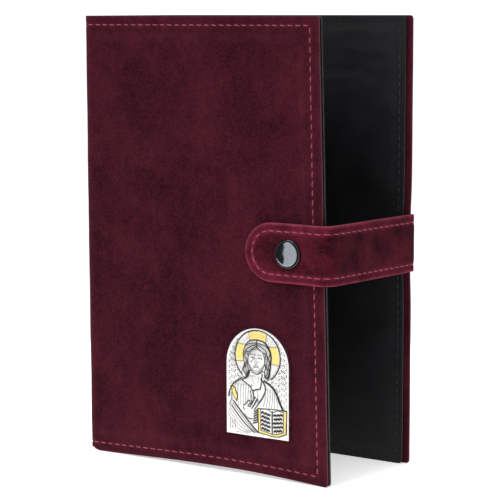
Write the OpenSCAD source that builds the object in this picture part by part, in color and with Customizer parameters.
// Slip-on suede cover for a prayer book, standing nearly closed on its bottom edges.
// Two stiffened covers fold on a spine. A strap sewn to the back cover comes round
// the free edges and snaps on the front, above a small arched metal plaque.
// Axes: +X runs from the spine to the free edges, -Y faces out of the front, +Z is up.
// The origin is the middle of the bounding box, on the surface that the cover stands on.

/* [Cover] */
// Height of the covers and the spine
cover_h = 200; // [160:1:260]
// Width of each cover, from the outside of its fold to its free edge
cover_w = 127; // [110:1:170]
// Length of the spine between its two fold axes
spine_len = 55; // [42:1:75]
// How far the spine leans away from square to the covers, in degrees
spine_lean = 12; // [0:1:16]
// Radius of the corners at the free edges
corner_r = 2.5; // [1:0.5:8]

/* [Layers] */
// Thickness of the suede
suede_t = 1.1; // [0.8:0.1:1.6]
// Thickness of the stiffening boards
board_t = 1; // [0.8:0.1:2]
// How far the boards stop short of the edges, inside the stitches
board_inset = 7.5; // [1:0.5:8]
// Thickness of the black lining
lining_t = 0.6; // [0.5:0.1:1.2]
// How far the back lining stops short of the free edge
back_lining_inset = 2.6; // [0:0.2:5]

/* [Pockets] */
// Thickness of the pocket sheets
pocket_t = 0.5; // [0.4:0.1:1]
// Room inside a flat, empty pocket
pocket_gap = 0.3; // [0.2:0.1:1]
// How far each pocket reaches from the free edge towards the spine
pocket_depth = 92; // [60:1:95]
// Width of the sewn rim round a pocket
pocket_rim = 5; // [3:0.5:7]

/* [Stitching] */
// Distance from the start of one stitch to the next
stitch_pitch = 4; // [3:0.1:6]
// Length of one stitch
stitch_len = 2.8; // [1.6:0.1:2.8]
// Width of the thread
thread_w = 0.6; // [0.4:0.1:0.9]
// Height of the thread above the leather
thread_t = 0.35; // [0.2:0.05:0.5]
// Distance from the top and bottom edges to the stitches
stitch_inset = 4; // [3:0.5:7]
// Distance from the free edge to the stitches
free_stitch_inset = 5; // [4:0.5:9]

/* [Strap] */
// Width of the strap
strap_w = 25.5; // [20:0.5:40]
// Thickness of the strap's inner layer
backing_t = 0.9; // [0.6:0.1:1.4]
// Length of the strap on the front cover, from the free edge to its round end
tip_len = 38; // [34:1:55]
// Length of the strap sewn to the back cover
anchor_len = 45; // [30:1:60]
// Room between the strap and the front cover
strap_gap = 0.8; // [0.6:0.1:1.5]
// Room between the strap and the free edges that it passes
edge_gap = 0.6; // [0.4:0.1:1.5]
// Distance from the strap's edges to its stitches
strap_stitch_inset = 3.4; // [2.5:0.1:5]

/* [Snap] */
// Distance from the front cover's free edge to the snap
snap_inset = 16.2; // [13:0.2:20]
// Diameter of the domed cap
cap_d = 12.5; // [10:0.5:15]
// Height of the cap
cap_h = 2; // [1.4:0.1:3]
// Diameter of the stud's head
stud_d = 4; // [3:0.2:5]
// Clearance all round between the stud and the socket
snap_clear = 0.25; // [0.15:0.05:0.4]

/* [Plaque] */
// Width of the plaque
plaque_w = 31.8; // [24:0.2:40]
// Height of the plaque, to the top of its arch
plaque_h = 47.6; // [42:0.2:60]
// Thickness of the plaque's core
plaque_core_t = 1; // [0.6:0.1:2]
// Thickness of the metal foil over the core
plaque_foil_t = 0.4; // [0.2:0.1:0.8]
// Distance from the front cover's free edge to the plaque's centre line
plaque_inset = 32.5; // [26:0.5:45]
// Height of the plaque's lower edge
plaque_z = 18.6; // [12:0.2:30]

/* [Hidden] */
$fn = 64;

// Folds: the covers turn about the axes of two rolls of leather, one at each spine edge.
leaf_t = suede_t + board_t + lining_t;
fold_r = leaf_t / 2;
turn_clear = 0.3;
leaf_start = fold_r + turn_clear;
lining_start = fold_r * 1.7 + turn_clear;
panel_t = leaf_t + pocket_gap + pocket_t;
free_x = cover_w - fold_r;
back_x = spine_len * sin(spine_lean);
back_y = spine_len * cos(spine_lean);

// Strap: its two bends turn about the axes of two thinner rolls.
strap_t = suede_t + backing_t;
strap_r = strap_t / 2;
strap_start = strap_r + turn_clear;
strap_z = cover_h / 2;
bend_x = free_x + edge_gap + strap_r;
bend_y = -(fold_r + strap_gap + strap_r);
root_y = back_y + fold_r + strap_r;
bridge_rise = root_y - bend_y;
edge_depth = panel_t + strap_r;
slant = (back_x + free_x - bend_x) / bridge_rise;
root_standoff = (edge_gap + edge_depth * slant + strap_r * 1.05) / (1 - edge_depth / bridge_rise);
root_x = back_x + free_x + root_standoff;
bridge_len = norm([root_x - bend_x, bridge_rise]);
bridge_angle = atan2(bridge_rise, root_x - bend_x);
tip_x = tip_len + bend_x - free_x;

// Snap: a stud riveted to the front cover, a socket under the cap in the strap.
snap_x = free_x - snap_inset;
snap_seat = backing_t + strap_gap;
bore_clear = 0.1;
rivet_r = stud_d / 4;
rivet_head_r = stud_d;
rivet_head_t = 0.4;
stud_flange_t = 0.3;
stud_wall_t = 0.25;
socket_plate_t = 0.25;
socket_h = snap_seat - stud_flange_t - 0.1;
socket_r = cap_d / 2 - 1.6;
socket_hole_r = stud_d / 2 + snap_clear;
stud_h = snap_seat - socket_plate_t - 0.2;
groove_r = socket_hole_r + 0.35;
spring_wire_r = 0.16;
spring_r = socket_hole_r - 0.05 + spring_wire_r;
cap_rim_h = cap_h * 0.3;
cap_dome_h = cap_h - cap_rim_h;
cap_dome_r = (pow(cap_d / 2, 2) + pow(cap_dome_h, 2)) / (2 * cap_dome_h);

// Plaque
adhesive_t = 0.2;
plaque_x = free_x - plaque_inset;
arch_r = plaque_w / 2;
arch_z = plaque_h - arch_r;
rim_w = 1.1;
rim_h = 0.35;
relief_h = 0.3;
halo_r = arch_r * 0.66;
head_r = arch_r * 0.31;
halo_z = arch_z + arch_r * 0.3;

// Origin: the middle of the bounding box in X and Y.
spine_thread_x = stitch_inset * sin(spine_lean) - (fold_r + thread_t) * cos(spine_lean);
min_x = min(-fold_r, spine_thread_x);
max_x = root_x + strap_r;
min_y = bend_y - strap_r - cap_h;
max_y = root_y + strap_r + thread_t;

// ---- frames: in each one +x runs along the leaf and -y points out of the cover ----
module to_origin() translate([-(min_x + max_x) / 2, -(min_y + max_y) / 2, 0]) children();
module front_frame() to_origin() children();
module spine_frame() to_origin()
    translate([back_x, back_y, 0]) rotate([0, 0, 270 - spine_lean]) children();
module back_frame() to_origin() translate([back_x, back_y, 0]) mirror([0, 1, 0]) children();
module bridge_frame() to_origin()
    translate([bend_x, bend_y, strap_z]) rotate([0, 0, bridge_angle]) children();
module tip_frame() to_origin() translate([bend_x, bend_y, strap_z]) mirror([1, 0, 0]) children();
module anchor_frame() back_frame() translate([free_x, -(fold_r + strap_r), strap_z]) children();
module snap_axis(x, y) translate([x, y, 0]) rotate([90, 0, 0]) children();

// ---- shapes that repeat ----
// An upright sheet: the outline (x, z) is given thickness t, from y inwards.
module sheet(y, t) translate([0, y + t, 0]) rotate([90, 0, 0]) linear_extrude(t) children();

// A leaf's outline from x0 to x1, with its two corners at x1 rounded.
module leaf_outline(x0, x1, inset = 0, r = corner_r) {
    h = cover_h - 2 * inset;
    translate([x0, inset]) difference() {
        square([x1 - x0, h]);
        for (side = [0, 1])
            translate([x1 - x0, side * h]) mirror([0, side]) translate([-r, 0]) difference() {
                translate([0, -1]) square([r + 1, r + 1]);
                translate([0, r]) circle(r);
            }
    }
}

module plain_outline(x0, x1, inset = 0) translate([x0, inset]) square([x1 - x0, cover_h - 2 * inset]);

// A strap's outline from x0 to x1, round at x1.
module round_end(x0, x1) {
    translate([x0, -strap_w / 2]) square([x1 - x0 - strap_w / 2, strap_w]);
    translate([x1 - strap_w / 2, 0]) circle(strap_w / 2);
}

// One stitch, centred on the point, on a face at y.
module stitch(x, y, z, turn = 0)
    translate([x, y - thread_t, z]) rotate([0, turn, 0]) translate([-stitch_len / 2, 0, -thread_w / 2])
        cube([stitch_len, thread_t, thread_w]);

// A straight row of whole stitches from a to b along x or z.
function row_steps(a, b) = max(1, floor((b - a) / stitch_pitch));
module row_x(a, b, y, z) {
    n = row_steps(a, b);
    for (i = [0:n - 1]) stitch(a + (i + 0.5) * (b - a) / n, y, z);
}
module row_z(a, b, y, x) {
    n = row_steps(a, b);
    for (i = [0:n - 1]) stitch(x, y, a + (i + 0.5) * (b - a) / n, 90);
}

// The stitches round a cover. The row on the free edge leaves out the stretch skip_z.
module cover_stitches(skip_z = []) {
    x1 = free_x - free_stitch_inset;
    z1 = cover_h - stitch_inset;
    for (z = [stitch_inset, z1]) row_x(stitch_inset, x1, -fold_r, z);
    if (len(skip_z) == 0) row_z(stitch_inset, z1, -fold_r, x1);
    else {
        row_z(stitch_inset, skip_z[0], -fold_r, x1);
        row_z(skip_z[1], z1, -fold_r, x1);
    }
}

// A pocket sheet sewn along its top, bottom and free edge, open towards the spine.
module pocket(x1) {
    x0 = free_x - pocket_depth;
    difference() {
        sheet(fold_r, pocket_gap + pocket_t) leaf_outline(x0, x1);
        translate([x0 - 1, fold_r, pocket_rim])
            cube([x1 - pocket_rim - x0 + 1, pocket_gap, cover_h - 2 * pocket_rim]);
    }
}

// The arched outline of the plaque, grown or shrunk by d.
module arch(d = 0) {
    translate([-arch_r - d, -d]) square([2 * (arch_r + d), arch_z + d]);
    translate([0, arch_z]) circle(arch_r + d);
}

// ---- front cover ----
module front_suede() color("#451c27") front_frame() difference() {
    sheet(-fold_r, suede_t) leaf_outline(leaf_start, free_x);
    translate([0, 0, strap_z]) snap_axis(snap_x, -fold_r + suede_t + 1)
        cylinder(r = rivet_r + bore_clear, h = suede_t + 2);
}

module front_board() color("#6b5640") front_frame() difference() {
    sheet(-fold_r + suede_t, board_t) leaf_outline(leaf_start, free_x - board_inset, board_inset);
    translate([0, 0, strap_z]) snap_axis(snap_x, -fold_r + suede_t + board_t + 1) {
        cylinder(r = rivet_r + bore_clear, h = board_t + 2);
        cylinder(r = rivet_head_r + bore_clear, h = rivet_head_t + 1);
    }
}

module front_lining() color("#17171b") front_frame()
    sheet(fold_r - lining_t, lining_t) leaf_outline(lining_start, free_x);

module front_pocket() color("#1d1d22") front_frame() pocket(free_x);

module front_stitching() color("#a3405f") front_frame() cover_stitches();

module snap_stud() color("#8c7a52") front_frame() translate([0, 0, strap_z]) snap_axis(snap_x, -fold_r)
    difference() {
        union() {
            cylinder(r = stud_d, h = stud_flange_t);
            cylinder(r = stud_d / 2, h = stud_h);
        }
        translate([0, 0, -1]) cylinder(r = rivet_r + bore_clear, h = stud_h + 1 - stud_wall_t);
    }

module snap_stud_rivet() color("#9a8a60") front_frame() translate([0, 0, strap_z])
    snap_axis(snap_x, -fold_r + suede_t + board_t) {
        cylinder(r = rivet_head_r, h = rivet_head_t);
        cylinder(r = rivet_r, h = suede_t + board_t + stud_h - stud_wall_t - bore_clear);
    }

// ---- plaque ----
module on_front(x, z, lift) front_frame() translate([x, -fold_r - lift, z]) rotate([90, 0, 0]) children();

module plaque_adhesive() color("#d9d2bd") on_front(plaque_x, plaque_z, 0)
    linear_extrude(adhesive_t) arch(-1);

module plaque_core() color("#7a6a58") on_front(plaque_x, plaque_z, adhesive_t)
    linear_extrude(plaque_core_t) arch(-0.2);

module plaque_foil() color("#c9ccd2") on_front(plaque_x, plaque_z, adhesive_t + plaque_core_t) {
    linear_extrude(plaque_foil_t) arch();
    linear_extrude(plaque_foil_t + rim_h) difference() {
        arch();
        arch(-rim_w);
    }
    linear_extrude(plaque_foil_t + relief_h) {
        translate([0, halo_z]) difference() {
            circle(halo_r);
            circle(halo_r - 0.7);
        }
        difference() {
            union() {
                translate([0, arch_z * 0.52]) circle(arch_r * 0.74);
                translate([-arch_r * 0.74, rim_w]) square([arch_r * 1.48, arch_z * 0.52 - rim_w]);
            }
            translate([arch_r * 0.02, 0]) square([arch_r, arch_z * 0.38]);
        }
    }
    translate([0, halo_z, plaque_foil_t - head_r + 1]) intersection() {
        sphere(head_r);
        translate([0, 0, head_r - 1]) cylinder(r = head_r, h = 1);
    }
    translate([arch_r * 0.05, rim_w + 0.6, 0])
        cube([arch_r * 0.83, arch_z * 0.32, plaque_foil_t + relief_h * 1.8]);
}

// ---- spine ----
module spine_suede() color("#401a24") spine_frame() {
    sheet(-fold_r, suede_t) plain_outline(0, spine_len);
    for (x = [0, spine_len]) translate([x, 0, 0]) cylinder(r = fold_r, h = cover_h);
}

module spine_board() color("#6b5640") spine_frame()
    sheet(-fold_r + suede_t, board_t) plain_outline(leaf_start, spine_len - leaf_start, board_inset);

module spine_lining() color("#17171b") spine_frame()
    sheet(fold_r - lining_t, lining_t) plain_outline(lining_start, spine_len - lining_start);

module spine_stitching() color("#a3405f") spine_frame()
    for (z = [stitch_inset, cover_h - stitch_inset])
        row_x(stitch_inset, spine_len - stitch_inset, -fold_r, z);

// ---- back cover ----
module back_suede() color("#451c27") back_frame()
    sheet(-fold_r, suede_t) leaf_outline(leaf_start, free_x);

module back_board() color("#6b5640") back_frame()
    sheet(-fold_r + suede_t, board_t) leaf_outline(leaf_start, free_x - board_inset, board_inset);

module back_lining() color("#17171b") back_frame()
    sheet(fold_r - lining_t, lining_t) leaf_outline(lining_start, free_x - back_lining_inset);

module back_pocket() color("#1d1d22") back_frame() pocket(free_x - back_lining_inset);

module back_stitching() color("#a3405f") back_frame()
    cover_stitches([strap_z - strap_w / 2 - thread_w, strap_z + strap_w / 2 + thread_w]);

// ---- strap: anchor on the back cover, bridge across the opening, tip on the front ----
module anchor_outline() translate([-anchor_len, -strap_w / 2])
    square([anchor_len + root_standoff - strap_start, strap_w]);

module strap_anchor() color("#4b1f2b") anchor_frame()
    sheet(-strap_r, suede_t) anchor_outline();

module strap_anchor_backing() color("#3a1a22") anchor_frame()
    sheet(suede_t - strap_r, backing_t) anchor_outline();

module strap_anchor_stitching() color("#a3405f") anchor_frame() {
    z1 = strap_w / 2 - strap_stitch_inset;
    x0 = strap_stitch_inset - anchor_len;
    for (z = [-z1, z1]) row_x(x0, root_standoff - strap_start - stitch_len / 2, -strap_r, z);
    for (x = [x0, -strap_stitch_inset]) row_z(thread_w - z1, z1 - thread_w, -strap_r, x);
}

module strap_bridge() color("#4b1f2b") bridge_frame() {
    sheet(-strap_r, suede_t) translate([0, -strap_w / 2]) square([bridge_len, strap_w]);
    for (x = [0, bridge_len]) translate([x, 0, -strap_w / 2]) cylinder(r = strap_r, h = strap_w);
}

module strap_bridge_backing() color("#3a1a22") bridge_frame()
    sheet(suede_t - strap_r, backing_t) translate([strap_start, -strap_w / 2])
        square([bridge_len - 2 * strap_start, strap_w]);

module strap_bridge_stitching() color("#a3405f") bridge_frame() {
    z1 = strap_w / 2 - strap_stitch_inset;
    for (z = [-z1, z1]) row_x(stitch_pitch / 2, bridge_len - stitch_pitch / 2, -strap_r, z);
}

module strap_tip() color("#4b1f2b") tip_frame() difference() {
    sheet(-strap_r, suede_t) round_end(strap_start, tip_x);
    snap_axis(bend_x - snap_x, strap_r) cylinder(r = rivet_r + bore_clear, h = strap_t + 1);
}

module strap_tip_backing() color("#3a1a22") tip_frame() difference() {
    sheet(suede_t - strap_r, backing_t) round_end(strap_start, tip_x);
    snap_axis(bend_x - snap_x, strap_r + 1) cylinder(r = socket_r + bore_clear, h = backing_t + 1);
}

module strap_tip_stitching() color("#a3405f") tip_frame() {
    r = strap_w / 2 - strap_stitch_inset;
    end_x = tip_x - strap_w / 2;
    steps = row_steps(0, PI * r);
    for (z = [-r, r]) row_x(strap_start + stitch_len / 2, end_x, -strap_r, z);
    for (i = [0:steps - 1]) {
        a = -90 + 180 * (i + 0.5) / steps;
        stitch(end_x + r * cos(a), -strap_r, r * sin(a), 90 - a);
    }
}

// ---- snap in the strap ----
module snap_cap() color("#2b3033") tip_frame() snap_axis(bend_x - snap_x, -strap_r) {
    cylinder(d = cap_d, h = cap_rim_h);
    intersection() {
        translate([0, 0, cap_h - cap_dome_r]) sphere(cap_dome_r);
        translate([0, 0, cap_rim_h]) cylinder(d = cap_d, h = cap_dome_h + 1);
    }
    translate([0, 0, -suede_t - socket_plate_t]) cylinder(r = rivet_r, h = suede_t + socket_plate_t);
}

// The socket's axis points outwards from its open mouth.
module socket_axis() tip_frame() snap_axis(bend_x - snap_x, suede_t - strap_r + socket_h) children();

module snap_socket() color("#8c7a52") socket_axis() difference() {
    cylinder(r = socket_r, h = socket_h);
    translate([0, 0, -1]) cylinder(r = socket_hole_r, h = socket_h + 1 - socket_plate_t);
    translate([0, 0, socket_h / 2 - 0.3]) cylinder(r = groove_r, h = 0.5);
    cylinder(r = rivet_r + bore_clear, h = socket_h + 1);
}

module snap_spring() color("#b8bcc0") socket_axis() translate([0, 0, socket_h / 2 - 0.05])
    rotate_extrude() translate([spring_r, 0]) circle(spring_wire_r, $fn = 24);

front_suede();
front_board();
front_lining();
front_pocket();
front_stitching();
snap_stud();
snap_stud_rivet();
plaque_adhesive();
plaque_core();
plaque_foil();
spine_suede();
spine_board();
spine_lining();
spine_stitching();
back_suede();
back_board();
back_lining();
back_pocket();
back_stitching();
strap_anchor();
strap_anchor_backing();
strap_anchor_stitching();
strap_bridge();
strap_bridge_backing();
strap_bridge_stitching();
strap_tip();
strap_tip_backing();
strap_tip_stitching();
snap_cap();
snap_socket();
snap_spring();
